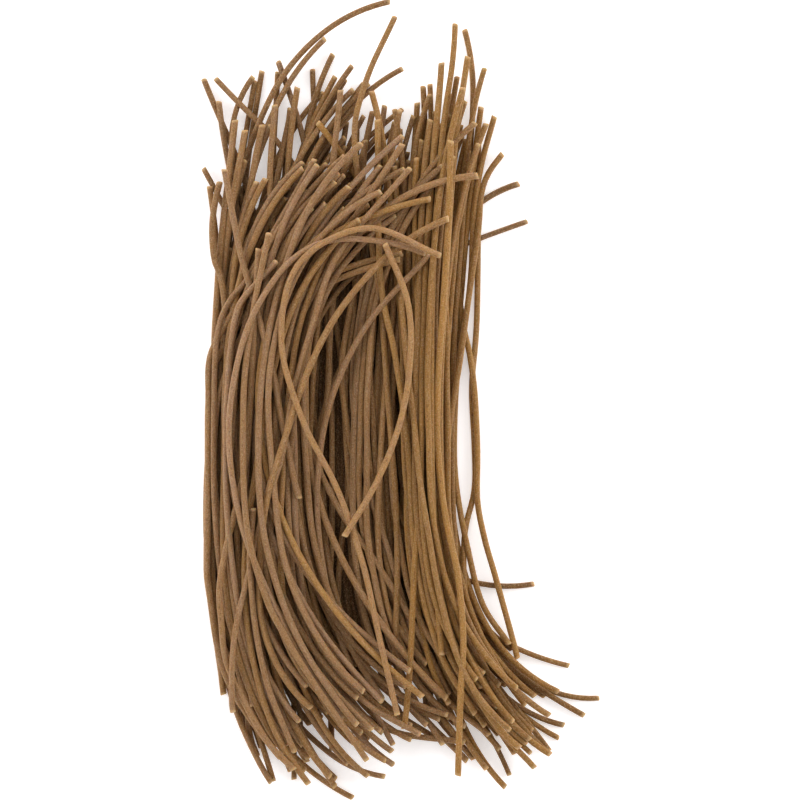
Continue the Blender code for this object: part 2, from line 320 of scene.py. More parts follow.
# The skin's patterns, in repeats per millimetre.
CLOUDS = 0.22  # uneven colour about 4 mm across, from the mixing of the dough
STREAKS = 1.6  # drawn streaks about 0.6 mm wide
STREAK_DRAW = 0.12  # how much slower they change along the strand
GRAIN = 1.7  # the rough skin of flour grains, coarser than the real 0.1 mm so that it shows
GRAIN_ROUGHNESS = 0.8
BRAN_CELLS = 0.85  # bran specks, drawn 0.3 to 0.6 mm across
BRAN_DRAW = 0.6  # and a little longer along the strand
BRAN_SIZE = 0.26
BRAN_ABSENT = 0.55  # share of the cells with no speck
BRAN_STRENGTH = 0.35
CUT_PALE = 0.75  # how pale a cut end is
CUT_PALE_REACH = (0.1, 1.6)  # where that starts to fade, and where it ends
BUMP_STRENGTH = 0.7
BUMP_HEIGHT = 0.00018  # in metres

# The studio.
CAMERA_HEIGHT = 1.6
FRAME_SIDE = 0.32
SENSOR = 36.0
FOCUS_SHARE = 0.4  # of the bundle's height at which the frame has that side
WORLD_STRENGTH = 0.64
FLOOR_HALF = 4.0
FLOOR_GLOW = 0.30
SOFTBOXES = (  # name, place and size in metres, power in watts
    ("left softbox", (-1.0, 0.25, 0.75), 0.7, 5.0),
    ("right softbox", (1.0, 0.25, 0.75), 0.7, 5.0),
    ("head softbox", (0.0, 1.1, 0.9), 0.7, 3.6),
)


# ---- The strands, drawn flat ----

def walk(starts, headings, lengths):
    """Runs from the starts along the headings in degrees, one heading for each step, in even steps."""
    turns = np.radians(headings)
    steps = np.stack([np.cos(turns), np.sin(turns)], axis=-1) * (lengths / headings.shape[1])[:, None, None]
    return np.concatenate([starts[:, None], starts[:, None] + np.cumsum(steps, axis=1)], axis=1)


def point_at(share, path):
    """The point at a share of the way along evenly spaced points, or the points at several."""
    whole = np.linspace(0, 1, len(path))
    return np.stack([np.interp(share, whole, path[:, axis]) for axis in (0, 1)], axis=-1)


def step_middles():
    """The middle of each step, as a share of the strand's length."""
    return (np.arange(STRAND_POINTS - 1) + 0.5) / (STRAND_POINTS - 1)


def lean_headings(foot_share, head, foot, tilt, power):
    """Headings from foot to head: straight at the waist, leaning ever more right towards the ends."""
    above = step_middles()[None] - foot_share[:, None]
    up = np.clip(above / (1 - foot_share)[:, None], 0, 1)
    down = np.clip(-above / foot_share[:, None], 0, 1)
    power = power[:, None]
    return 90 + tilt[:, None] - head[:, None] * up**power + foot[:, None] * down**power


def own_bends(rng, count):
    """The slight bends that a strand took while it dried, as changes of heading."""
    bends = np.zeros((count, STRAND_POINTS - 1))
    along = step_middles()[None] * STRAND_LENGTH
    for wavelength, degrees in OWN_BENDS:
        size = rng.normal(0, degrees, (count, 1))
        bends += size * np.sin(2 * math.pi * along / wavelength + rng.uniform(0, 2 * math.pi, (count, 1)))
    return bends


def tress_paths(rng, strands, waist, rise, head, foot, level, share=(1.0, 1.0), tilt=3.0):
    """One tress's flat paths, foot first, with their levels and lengths."""
    place = (np.arange(strands) + rng.uniform(0.1, 0.9, strands)) / strands

    def across(ends, wander):
        chance = rng.normal(0, 1, strands).clip(-WANDER_LIMIT, WANDER_LIMIT)
        return ends[0] + (ends[1] - ends[0]) * place + wander * chance

    lengths = STRAND_LENGTH * rng.uniform(*share, strands)
    reach_down = lengths / 2 - across(rise, RISE_WANDER)
    tilts = rng.normal(0, tilt, strands)
    power = rng.uniform(*LEAN_POWER, strands)
    foot_share = reach_down / lengths
    heads, feet = across(head, HEAD_WANDER), across(foot, FOOT_WANDER)
    headings = lean_headings(foot_share, heads, feet, tilts, power) + own_bends(rng, strands)
    paths = walk(np.zeros((strands, 2)), headings, lengths)
    at_waist = np.array([point_at(at, path) for at, path in zip(foot_share, paths)])
    waists = np.stack([across(waist, WAIST_WANDER), np.full(strands, WAIST_Y)], axis=1)
    return paths + (waists - at_waist)[:, None], rng.uniform(*level, strands), lengths


def hand_paths(rng):
    """The flat paths of the strands laid one by one, with their levels and lengths."""
    tips, headings, levels, shares, ends = zip(*((*strand, None)[:5] for strand in LAID_BY_HAND.values()))
    turned = []
    for given in headings:
        few = len(given) == len(HEADING_STATIONS)
        stations = HEADING_STATIONS if few else np.linspace(0, 1, len(given))
        turned.append(np.interp(step_middles(), stations, given))
    lengths = np.array(shares) * STRAND_LENGTH
    turned = np.array(turned) + HAND_BENDS * own_bends(rng, len(tips))
    paths = walk(np.array(tips, float), turned, lengths)
    easing = np.linspace(0, 1, STRAND_POINTS)[:, None] ** EASING_POWER
    for path, end in zip(paths, ends):
        if end:
            path += (np.array(end) - path[-1]) * easing
    for level, *points in THREADED_STRANDS.values():
        path, length = even_path(points)
        paths = np.concatenate([paths, path[None]])
        levels += (level,)
        lengths = np.append(lengths, length)
    return paths, np.array(levels), lengths


def kept_inside(paths):
    """The paths, bent away from the bundle's left outline where they come near it."""
    outline_y, outline_x = np.array(LEFT_OUTLINE).T
    over = np.maximum(np.interp(paths[..., 1], outline_y, outline_x) + EDGE_GIVE - paths[..., 0], 0)
    paths[..., 0] += over - EDGE_GIVE * np.tanh(over / EDGE_GIVE)
    return paths


def even_path(points):
    """A smooth curve through points as evenly spaced points, and its length."""
    fine = along_curve(np.array(points, float), np.linspace(0, 1, 400))
    run = np.concatenate([[0], np.cumsum(np.hypot(*np.diff(fine, axis=0).T))])
    even = np.linspace(0, run[-1], STRAND_POINTS)
    return np.stack([np.interp(even, run, fine[:, 0]), np.interp(even, run, fine[:, 1])], axis=1), run[-1]


def drawn_strands(rng):
    """Every strand, from the lowest to the highest: its flat path, thickness, length, kind and hold."""
    groups = []
    for number, (name, tress) in enumerate(TRESSES.items()):
        own_rng = np.random.default_rng((SEED, number))
        groups.append((name.split("_")[0], *tress_paths(own_rng, **tress)))
    groups.append(("loose", *hand_paths(np.random.default_rng((SEED, len(TRESSES))))))
    kinds, paths, levels, lengths = zip(*groups)
    order = np.argsort(np.concatenate(levels), kind="stable")
    kinds = np.repeat(kinds, [len(flat) for flat in paths])[order]
    paths = kept_inside(np.concatenate(paths)[order])
    levels = np.concatenate(levels)[order]
    uneven = rng.normal(0, THICKNESS_WANDER, len(order))
    radii = STRAND_THICKNESS / 2 * (THICKNESS_LOWEST + THICKNESS_RISE * levels + uneven)
    golden = np.clip((paths[:, STRAND_POINTS // 2, 0] - GOLDEN_FROM) / GOLDEN_OVER, 0, 1)
    return {
        "paths": paths,
        "radii": radii,
        "tints": np.clip(TINT_LEFT + TINT_RISE * golden + rng.normal(0, TINT_WANDER, len(order)), 0, 1),
        # painted shade by level, with a random wander of tone
        "shades": PAINTED_SHADE_LOWEST + PAINTED_SHADE_RISE * levels + rng.normal(0, SHADE_WANDER, len(order)),
        "lengths": np.concatenate(lengths)[order],
        "levels": levels,
        "kinds": kinds,
        "hold": np.where(kinds == "loose", HOLD_BY_HAND, HOLD_TRESS),
    }


# ---- The core ----

def core_rows():
    """The core's top as a grid of points: its ridges side by side, each along the strands' run."""
    ridges = round((CORE_WAIST[1] - CORE_WAIST[0]) / STRAND_THICKNESS)
    columns = ridges * POINTS_PER_RIDGE + 1
    share = np.linspace(0, 1, columns)
    reach = np.full(columns, 0.5)
    head = CORE_HEAD[0] + (CORE_HEAD[1] - CORE_HEAD[0]) * share
    foot = CORE_FOOT[0] + (CORE_FOOT[1] - CORE_FOOT[0]) * share
    headings = lean_headings(reach, head, foot, np.zeros(columns), np.full(columns, CORE_POWER))
    runs = walk(np.zeros((columns, 2)), headings, np.full(columns, STRAND_LENGTH))
    kept = 0.5 + (np.linspace(0, 1, CORE_ROWS) - 0.5) * CORE_LENGTH / STRAND_LENGTH
    rows = np.array([point_at(kept, run) for run in runs])
    middle = np.array([point_at(0.5, run) for run in runs])
    across = CORE_WAIST[0] + (CORE_WAIST[1] - CORE_WAIST[0]) * share
    waist = np.stack([across, np.full(columns, WAIST_Y)], axis=1)
    rows += (waist - middle)[:, None]
    inwards = np.minimum(share, 1 - share) * (CORE_WAIST[1] - CORE_WAIST[0]) / CORE_EDGE
    endwards = np.minimum(kept - kept[0], kept[-1] - kept) * STRAND_LENGTH / CORE_EDGE
    shoulder = np.sqrt(1 - (1 - np.clip(np.minimum(inwards[:, None], endwards[None]), 0, 1)) ** 2)
    ridge = np.abs(np.sin(math.pi * ridges * share))[:, None]
    height = CORE_RIM + (CORE_HEIGHT - CORE_RIM - STRAND_THICKNESS / 2 * (1 - ridge)) * shoulder
    return np.concatenate([rows, height[..., None]], axis=2)


def ground_heights(rows):
    """The height of the core and the table as a grid of cells, with the grid's corner."""
    low = np.array([BOX_LOW.x, BOX_LOW.y]) / MM - GROUND_MARGIN
    high = np.array([BOX_HIGH.x, BOX_HIGH.y]) / MM + GROUND_MARGIN
    cells = np.ceil((high - low) / GROUND_CELL).astype(int)
    heights = np.zeros(cells)
    fine = np.linspace(0, CORE_ROWS - 1, CORE_ROWS * GROUND_SAMPLES)
    below = np.minimum(fine.astype(int), CORE_ROWS - 2)
    part = (fine - below)[None, :, None]
    dense = rows[:, below] * (1 - part) + rows[:, below + 1] * part
    i, j = ((dense[..., :2] - low) / GROUND_CELL).astype(int).reshape(-1, 2).T
    np.maximum.at(heights, (i, j), dense[..., 2].ravel())
    spread = heights.copy()
    for di, dj in ((1, 0), (-1, 0), (0, 1), (0, -1)):
        spread = np.maximum(spread, np.roll(heights, (di, dj), axis=(0, 1)))
    return spread, low


def height_at(ground, places):
    """The ground's height under places, read between the cells' middles."""
    heights, low = ground
    spot = (places - low) / GROUND_CELL - 0.5
    cell = np.floor(spot).astype(int)
    cell = np.clip(cell, 0, np.array(heights.shape) - 2)
    u, v = np.moveaxis(np.clip(spot - cell, 0, 1), -1, 0)
    i, j = np.moveaxis(cell, -1, 0)
    near = heights[i, j] * (1 - u) + heights[i + 1, j] * u
    far = heights[i, j + 1] * (1 - u) + heights[i + 1, j + 1] * u
    return near * (1 - v) + far * v


# ---- Settling ----

def bend_filter(stiffness):
    """The matrix that spreads a push on one point along its strand, as a stiff strand does."""
    second = np.zeros((STRAND_POINTS - 2, STRAND_POINTS))
    for i in range(STRAND_POINTS - 2):
        second[i, i:i + 3] = (1, -2, 1)
    return np.linalg.inv(np.eye(STRAND_POINTS) + stiffness * second.T @ second)


def start_heights(paths, radii, levels, ground):
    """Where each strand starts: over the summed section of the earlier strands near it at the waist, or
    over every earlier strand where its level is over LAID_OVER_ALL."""
    at_waist = np.array([path[np.abs(path[:, 1] - WAIST_Y).argmin(), 0] for path in paths])
    heights = np.zeros(len(paths))
    for i in range(len(paths)):
        under = np.abs(at_waist[:i] - at_waist[i]) < HEAP_REACH
        heights[i] = (math.pi * radii[:i][under] ** 2).sum() / PACKED_SHARE / (2 * HEAP_REACH)
        if levels[i] > LAID_OVER_ALL:
            heights[i] = heights[:i].max() + 0.5 * radii[i]
    places = np.stack([at_waist, np.full(len(paths), WAIST_Y)], axis=1)
    return heights + radii + height_at(ground, places)


def near_points(points, owners, reach):
    """Pairs of points within reach of each other and on different strands."""
    cells = np.floor(points / reach).astype(np.int64)
    cells -= cells.min(axis=0) - 1
    size = cells.max(axis=0) + 2
    keys = (cells[:, 0] * size[1] + cells[:, 1]) * size[2] + cells[:, 2]
    order = np.argsort(keys, kind="stable")
    used, first, count = np.unique(keys[order], return_index=True, return_counts=True)
    found = []
    near = (-1, 0, 1)
    for i, j, k in [(i, j, k) for i in near for j in near for k in near if (i, j, k) >= (0, 0, 0)]:
        wanted = used + (i * size[1] + j) * size[2] + k
        other = np.minimum(np.searchsorted(used, wanted), len(used) - 1)
        here = np.nonzero(used[other] == wanted)[0]
        other = other[here]
        pairs = count[here] * count[other]
        if not pairs.sum():
            continue
        cell = np.repeat(np.arange(len(here)), pairs)
        turn = np.arange(pairs.sum()) - np.repeat(np.cumsum(pairs) - pairs, pairs)
        a = order[first[here][cell] + turn // count[other][cell]]
        b = order[first[other][cell] + turn % count[other][cell]]
        apart = points[a] - points[b]
        kept = (owners[a] != owners[b]) & (np.einsum("ij,ij->i", apart, apart) < reach * reach)
        if (i, j, k) == (0, 0, 0):
            kept &= a < b
        found.append(np.stack([a[kept], b[kept]]))
    return np.concatenate(found, axis=1)


def near_segments(points, reach):
    """Pairs of segments of different strands within about reach of each other, the lower strand first."""
    strands, count = points.shape[:2]
    ahead, behind = points[:, 1:], points[:, :-1]
    samples = np.concatenate([ahead * 0.25 + behind * 0.75, ahead * 0.75 + behind * 0.25], axis=1)
    segment = np.arange(strands)[:, None] * (count - 1) + np.tile(np.arange(count - 1), 2)[None]
    owners = np.repeat(np.arange(strands), 2 * (count - 1))
    a, b = segment.ravel()[near_points(samples.reshape(-1, 3), owners, reach)]
    total = strands * (count - 1)
    keys = np.unique(np.minimum(a, b) * total + np.maximum(a, b))
    return keys // total, keys % total


def closest(starts_a, runs_a, starts_b, runs_b):
    """How far along each of two segments their closest points lie, and the gap from b's to a's."""
    between = starts_a - starts_b
    aa = np.einsum("ij,ij->i", runs_a, runs_a)
    bb = np.einsum("ij,ij->i", runs_b, runs_b)
    ab = np.einsum("ij,ij->i", runs_a, runs_b)
    a_gap = np.einsum("ij,ij->i", runs_a, between)
    b_gap = np.einsum("ij,ij->i", runs_b, between)
    spread = aa * bb - ab * ab
    slanting = spread > 1e-3 * aa * bb
    along_a = np.where(slanting, (ab * b_gap - a_gap * bb) / np.maximum(spread, 1e-9), 0.5)
    along_a = np.clip(along_a, 0, 1)
    along_b = np.clip((ab * along_a + b_gap) / bb, 0, 1)
    along_a = np.clip((ab * along_b - a_gap) / aa, 0, 1)
    return along_a, along_b, between + runs_a * along_a[:, None] - runs_b * along_b[:, None]


def push_apart(flat, ends_a, ends_b, wanted):
    """Moves the touching segments apart. Where two strands cross, the one laid later stays on top."""
    start_a, start_b = flat[ends_a], flat[ends_b]
    run_a, run_b = flat[ends_a + 1] - start_a, flat[ends_b + 1] - start_b
    along_a, along_b, gap = closest(start_a, run_a, start_b, run_b)
    distance = np.sqrt(np.einsum("ij,ij->i", gap, gap)) + 1e-9
    from_ends = np.minimum(np.minimum(along_a, 1 - along_a), np.minimum(along_b, 1 - along_b))
    level_gap = np.hypot(gap[:, 0], gap[:, 1])
    sunk = (from_ends > SEGMENT_END) & (gap[:, 2] > 0) & (level_gap < SUNK_THROUGH * wanted)
    short = wanted - np.where(sunk, -distance, distance)
    hit = np.nonzero(short > 0)[0]
    away = gap[hit] / distance[hit, None]
    away[sunk[hit]] = (0, 0, -1)
    push = away * (0.5 * np.minimum(short[hit], PUSH_LIMIT))[:, None]
    points = len(flat)
    weight = np.zeros(points)
    moved = np.zeros((points, 3))
    a, b, at, bt = ends_a[hit], ends_b[hit], along_a[hit], along_b[hit]
    for index, part, way in ((a, 1 - at, 1), (a + 1, at, 1), (b, 1 - bt, -1), (b + 1, bt, -1)):
        weight += np.bincount(index, part, points)
        for axis in range(3):
            moved[:, axis] += np.bincount(index, way * part * push[:, axis], points)
    flat += PUSH_GAIN * moved / np.maximum(weight, LEAST_WEIGHT)[:, None]


def settled(strands, ground):
    """The strands' points after they have sunk onto each other and the ground."""
    paths, radii = strands["paths"], strands["radii"]
    count, points = paths.shape[:2]
    rest = np.concatenate([paths, np.zeros((count, points, 1))], axis=2)
    place = rest.copy()
    place[..., 2] = start_heights(paths, radii, strands["levels"], ground)[:, None]
    spread = bend_filter(STIFFNESS)
    first_point = (np.arange(count)[:, None] * points + np.arange(points - 1)[None]).ravel()
    segment_radii = np.repeat(radii, points - 1)
    free = 1 - strands["hold"][:, None, None]
    paired_at = None
    for step in range(ROUNDS):
        quiet = step >= ROUNDS - QUIET_ROUNDS
        if not quiet:  # the sinking slows down over the second half
            place[..., 2] -= SINK_PER_ROUND * min(1.0, 2 * (1 - step / ROUNDS))
        bend = place - rest
        bend += STIFF_SHARE[quiet] * (np.einsum("pq,sqc->spc", spread, bend) - bend)
        bend[..., :2] *= free
        place = rest + bend
        if paired_at is None or np.abs(place - paired_at).max() > PAIR_SLACK / 2:
            a, b = near_segments(place, 2 * radii.mean() + PAIR_SLACK + SAMPLE_SLACK)
            ends_a, ends_b = first_point[a], first_point[b]
            wanted = segment_radii[a] + segment_radii[b]
            paired_at = place.copy()
        for _ in range(PUSHES_PER_ROUND):
            push_apart(place.reshape(-1, 3), ends_a, ends_b, wanted)
        floor = height_at(ground, place[..., :2]) + radii[:, None]
        place[..., 2] = np.maximum(place[..., 2], floor)
    place = rest + np.einsum("pq,sqc->spc", bend_filter(LAST_STIFFNESS), place - rest)
    floor = height_at(ground, place[..., :2]) * BEDDED_SHARE + radii[:, None]
    place[..., 2] = np.maximum(place[..., 2], floor)
    return place


# ---- Skinning ----

SKINS = {
    "buried_strands": dict(kinds=("bed",), rings=46, sides=8),
    "laid_strands": dict(kinds=("right", "middle", "left"), rings=60, sides=10),
    "loose_strands": dict(kinds=("loose",), rings=72, sides=12),
}
CUT_BEVEL = 0.22  # how far in from a cut end the strand has its full thickness
CUT_SHARE = 0.86  # thickness at the cut, as a share of the strand's
CUT_REACH = 1.5 * CUT_BEVEL  # within which a point belongs to the cut
LINE_FACTS = ("thickness", "along", "from_end", "number", "tint", "shade")

# On the OFBake map, as shares of a strand's strip: where a cut's middle lies, half its length and
# half its width, and the skin's margins at its ends and its sides.
CAP_PLACE = 0.008
CAP_HALF = (0.006, 0.3)
SKIN_MARGIN = (0.02, 0.1)


def add(tree, kind, settings=(), inputs=()):
    """Adds a node with its settings, gives its inputs their values or links, and returns its outputs."""
    node = tree.nodes.new(kind)
    for name, value in dict(settings).items():
        setattr(node, name, value)
    for name, value in dict(inputs).items():
        if isinstance(value, bpy.types.NodeSocket):
            tree.links.new(value, node.inputs[name])
        else:
            node.inputs[name].default_value = value
    return node.outputs


def placed(name, data):
    """An object with the data, in the scene."""
    made = bpy.data.objects.new(name, data)
    bpy.context.scene.collection.objects.link(made)
    return made


def give(mesh, name, values):
    """Gives each of a mesh's points its value or its vector."""
    kind, field = ("FLOAT_VECTOR", "vector") if values.ndim == 2 else ("FLOAT", "value")
    held = mesh.attributes.new(name, kind, "POINT")
    held.data.foreach_set(field, values.ravel().astype(np.float32))


def along_curve(points, shares):
    """Points at shares of the way along a line of evenly spaced points, on a smooth curve through them."""
    last = len(points) - 1
    spot = np.clip(shares * last, 0, last - 1e-6)
    i = spot.astype(int)
    t = (spot - i)[:, None]
    padded = np.concatenate([[2 * points[0] - points[1]], points, [2 * points[-1] - points[-2]]])
    before, here, there, after = padded[i], padded[i + 1], padded[i + 2], padded[i + 3]
    return 0.5 * (
        2 * here
        + (there - before) * t
        + (2 * before - 5 * here + 4 * there - after) * t**2
        + (3 * here - before - 3 * there + after) * t**3
    )


def strand_lines(name, strands, places, chosen, rings):
    """A mesh with a line for each chosen strand, which holds what its skin is made from."""
    even = np.linspace(0, 1, rings)
    points, facts = [], []
    for number in chosen:
        length = strands["lengths"][number]
        bevel = CUT_BEVEL / length
        shares = np.concatenate([[0, bevel], even[1:-1], [1 - bevel, 1]])
        along = shares * length
        radius = strands["radii"][number] * np.where((shares == 0) | (shares == 1), CUT_SHARE, 1)
        points.append(along_curve(places[number], shares))
        same = np.ones(len(shares))
        facts.append(
            [
                radius,
                along,
                np.minimum(along, length - along),
                number * same,
                strands["tints"][number] * same,
                strands["shades"][number] * same,
            ]
        )
    points = np.array(points)
    count, stations = points.shape[:2]
    first = np.arange(count * stations).reshape(count, stations)
    edges = np.stack([first[:, :-1].ravel(), first[:, 1:].ravel()], axis=1)
    mesh = bpy.data.meshes.new(name)
    mesh.from_pydata((points.reshape(-1, 3) * MM).tolist(), edges.tolist(), [])
    for fact, values in zip(LINE_FACTS, np.array(facts).transpose(1, 0, 2)):
        give(mesh, fact, values.ravel())
    return placed(name, mesh)


def skin_tree():
    """Skins lines as round strands with cut ends, and keeps where each point lies on its strand."""
    tree = bpy.data.node_groups.new("strand skin", "GeometryNodeTree")
    sockets = tree.interface
    sockets.new_socket("Lines", in_out="INPUT", socket_type="NodeSocketGeometry")
    for name, kind, value in (
        ("Sides", "NodeSocketInt", 10),
        ("Roundness", "NodeSocketFloat", 0.95),
        ("Thickness Wander", "NodeSocketFloat", 0.05),
        ("Wander Length", "NodeSocketFloat", 12.0),
        ("Cut Slant", "NodeSocketFloat", 0.25),
        ("Seed", "NodeSocketInt", SEED),
    ):
        sockets.new_socket(name, in_out="INPUT", socket_type=kind).default_value = value
    sockets.new_socket("Material", in_out="INPUT", socket_type="NodeSocketMaterial")
    sockets.new_socket("Strands", in_out="OUTPUT", socket_type="NodeSocketGeometry")
    given = add(tree, "NodeGroupInput")

    def fact(name, kind="FLOAT"):
        named = {"Name": name}
        return add(tree, "GeometryNodeInputNamedAttribute", {"data_type": kind}, named)["Attribute"]

    def maths(operation, *values):
        return add(tree, "ShaderNodeMath", {"operation": operation}, dict(enumerate(values)))[0]

    def stored(geometry, name, value):
        settings = {"data_type": "FLOAT_VECTOR"}
        inputs = {"Geometry": geometry, "Name": name, "Value": value}
        return add(tree, "GeometryNodeStoreNamedAttribute", settings, inputs)["Geometry"]

    # Thickness: each strand's own, a little uneven along its length.
    own = maths("ADD", maths("MULTIPLY", fact("number"), 17.0), given["Seed"])
    down = maths("DIVIDE", fact("along"), given["Wander Length"])
    place = add(tree, "ShaderNodeCombineXYZ", inputs={0: down, 1: own})[0]
    uneven = add(tree, "ShaderNodeTexNoise", inputs={"Vector": place, "Scale": 1.0, "Detail": 1.0})[0]
    swing = maths("MULTIPLY", maths("SUBTRACT", uneven, 0.5), given["Thickness Wander"])
    thickness = maths("MULTIPLY", fact("thickness"), maths("ADD", maths("MULTIPLY", swing, 2.0), 1.0))
    in_metres = maths("MULTIPLY", thickness, MM)
    curves = add(tree, "GeometryNodeMeshToCurve", inputs={"Mesh": given["Lines"]})[0]
    curves = stored(curves, "direction", add(tree, "GeometryNodeInputTangent")[0])
    chance = {2: 0.0, 3: 2 * math.pi, "ID": fact("number"), "Seed": given["Seed"]}
    turn = add(tree, "FunctionNodeRandomValue", {"data_type": "FLOAT"}, chance)[1]
    curves = add(tree, "GeometryNodeSetCurveTilt", inputs={"Curve": curves, "Tilt": turn})[0]
    # The profile: a circle of radius 1, pressed a little flat by the die.
    unit = {"Resolution": given["Sides"], "Radius": 1.0}
    circle = add(tree, "GeometryNodeCurvePrimitiveCircle", {"mode": "RADIUS"}, unit)[0]
    press = add(tree, "ShaderNodeCombineXYZ", inputs={0: 1.0, 1: given["Roundness"], 2: 1.0})[0]
    profile = add(tree, "GeometryNodeTransform", inputs={"Geometry": circle, "Scale": press})[0]
    profile = stored(profile, "rim", add(tree, "GeometryNodeInputPosition")[0])
    swept = {"Curve": curves, "Profile Curve": profile, "Scale": in_metres, "Fill Caps": True}
    skin = add(tree, "GeometryNodeCurveToMesh", inputs=swept)[0]
    # Each cut end is slanted a little: its rim is moved along the strand.
    rim = add(tree, "ShaderNodeSeparateXYZ", inputs={0: fact("rim", "FLOAT_VECTOR")})
    aside = maths("MULTIPLY", rim[0], fact("thickness"))
    slant = maths("MULTIPLY", aside, maths("MULTIPLY", given["Cut Slant"], MM))
    cut = maths("LESS_THAN", fact("from_end"), CUT_REACH)
    ahead = {0: fact("direction", "FLOAT_VECTOR"), "Scale": slant}
    away = add(tree, "ShaderNodeVectorMath", {"operation": "SCALE"}, ahead)[0]
    slanted = {"Geometry": skin, "Selection": cut, "Offset": away}
    skin = add(tree, "GeometryNodeSetPosition", inputs=slanted)[0]
    # Where a point lies on the straight strand, in millimetres, each strand in a place of its own.
    beside = maths("ADD", aside, maths("MULTIPLY", fact("number"), 9.0))
    below = maths("MULTIPLY", rim[1], fact("thickness"))
    lie = add(tree, "ShaderNodeCombineXYZ", inputs={0: beside, 1: below, 2: fact("along")})[0]
    skin = stored(skin, "lie", lie)
    # The sides are smooth and the cuts, which have more than four corners, flat.
    corners = add(tree, "GeometryNodeInputMeshFaceNeighbors")["Vertex Count"]
    few = {"data_type": "INT", "operation": "LESS_EQUAL"}
    side = add(tree, "FunctionNodeCompare", few, {2: corners, 3: 4})[0]
    smooth = {"Geometry": skin, "Shade Smooth": side}
    skin = add(tree, "GeometryNodeSetShadeSmooth", {"domain": "FACE"}, smooth)[0]
    skin = add(tree, "GeometryNodeRealizeInstances", inputs={"Geometry": skin})[0]
    covered = {"Geometry": skin, "Material": given["Material"]}
    skin = add(tree, "GeometryNodeSetMaterial", inputs=covered)[0]
    add(tree, "NodeGroupOutput", inputs={"Strands": skin})
    return tree


def skinned(lines, tree, values):
    """The lines with the skin, as a plain mesh."""
    modifier = lines.modifiers.new("strand skin", "NODES")
    modifier.node_group = tree
    sockets = [item for item in tree.interface.items_tree if item.item_type == "SOCKET"]
    identifiers = {item.name: item.identifier for item in sockets if item.in_out == "INPUT"}
    for name, value in values.items():
        modifier[identifiers[name]] = value
    evaluated = lines.evaluated_get(bpy.context.evaluated_depsgraph_get())
    mesh = bpy.data.meshes.new_from_object(evaluated)
    lines.modifiers.clear()
    flat = lines.data
    lines.data = mesh
    bpy.data.meshes.remove(flat)
    mesh.name = lines.name
    return lines


def add_bake_map(piece, rings, sides, columns=2):
    """A map named OFBake: each strand unrolled in a strip, the strips in columns."""
    def read(items, fact):
        values = np.empty(len(items), np.int32)
        items.foreach_get(fact, values)
        return values

    mesh = piece.data
    ring_count = rings + 2
    per_strand = ring_count * sides
    rows = math.ceil(len(mesh.vertices) // per_strand / columns)
    vertex = read(mesh.loops, "vertex_index")
    start = read(mesh.polygons, "loop_start")
    size = read(mesh.polygons, "loop_total")
    strand = vertex // per_strand
    ring = vertex % per_strand // sides
    side = (vertex % sides).astype(float)
    face = np.repeat(np.arange(len(size)), size)
    wraps = (np.maximum.reduceat(side, start) == sides - 1) & (np.minimum.reduceat(side, start) == 0)
    cap = size[face] > 4
    side[wraps[face] & ~cap & (side == 0)] = sides
    turn = 2 * math.pi * side / sides
    cap_middle = np.where(ring == 0, CAP_PLACE, 1 - CAP_PLACE)
    at_ends, at_sides = SKIN_MARGIN
    skin_along = at_ends + (1 - 2 * at_ends) * ring / (ring_count - 1)
    skin_around = at_sides + (1 - 2 * at_sides) * side / sides
    along = np.where(cap, cap_middle + CAP_HALF[0] * np.cos(turn), skin_along)
    around = np.where(cap, 0.5 + CAP_HALF[1] * np.sin(turn), skin_around)
    u = (strand % columns + along) / columns
    v = (strand // columns + around) / rows
    layer = mesh.uv_layers.new(name="OFBake")
    layer.data.foreach_set("uv", np.stack([u, v], axis=1).ravel().astype(np.float32))


def core_piece(rows):
    """The core as a closed mesh: its ridged top, and the same ridges, lower, underneath."""
    underneath = rows.copy()
    underneath[..., 2] = CORE_SOLE + CORE_SOLE_SHARE * (CORE_HEIGHT - rows[..., 2]).clip(0)
    columns, count = rows.shape[:2]
    offset = columns * count
    grid = np.arange(offset).reshape(columns, count)
    bottom = grid + offset
    near, far, left, right = grid[:, 0], grid[:, -1], grid[0], grid[-1]

    def quads(*corners):
        return np.stack(corners, axis=-1).reshape(-1, 4)

    faces = [
        quads(grid[:-1, :-1], grid[1:, :-1], grid[1:, 1:], grid[:-1, 1:]),
        quads(bottom[:-1, :-1], bottom[:-1, 1:], bottom[1:, 1:], bottom[1:, :-1]),
        quads(near[:-1], near[:-1] + offset, near[1:] + offset, near[1:]),
        quads(far[:-1], far[1:], far[1:] + offset, far[:-1] + offset),
        quads(left[:-1], left[1:], left[1:] + offset, left[:-1] + offset),
        quads(right[:-1], right[:-1] + offset, right[1:] + offset, right[1:]),
    ]
    points = np.concatenate([rows.reshape(-1, 3), underneath.reshape(-1, 3)]) + (0, 0, TABLE_Z)
    mesh = bpy.data.meshes.new("buried_core")
    mesh.from_pydata((points * MM).tolist(), [], np.concatenate(faces).tolist())
    mesh.shade_smooth()
    made = bmesh.new()
    made.from_mesh(mesh)
    bmesh.ops.recalc_face_normals(made, faces=made.faces)
    made.to_mesh(mesh)
    made.free()
    # The core's tint and its dark painted shade.
    for fact, value in CORE_LOOKS.items():
        give(mesh, fact, np.full(len(points), value))
    give(mesh, "lie", points[:, [0, 2, 1]])
    return placed("buried_core", mesh)


# ---- Materials ----

def linear(colour):
    """An sRGB hex colour as linear red, green, blue and alpha."""
    parts = [int(colour[i:i + 2], 16) / 255 for i in (1, 3, 5)]
    parts = [part / 12.92 if part <= 0.04045 else ((part + 0.055) / 1.055) ** 2.4 for part in parts]
    return (*parts, 1.0)


def new_material(name):
    """A material with an empty node tree."""
    material = bpy.data.materials.new(name)
    material.use_nodes = True
    material.node_tree.nodes.clear()
    return material


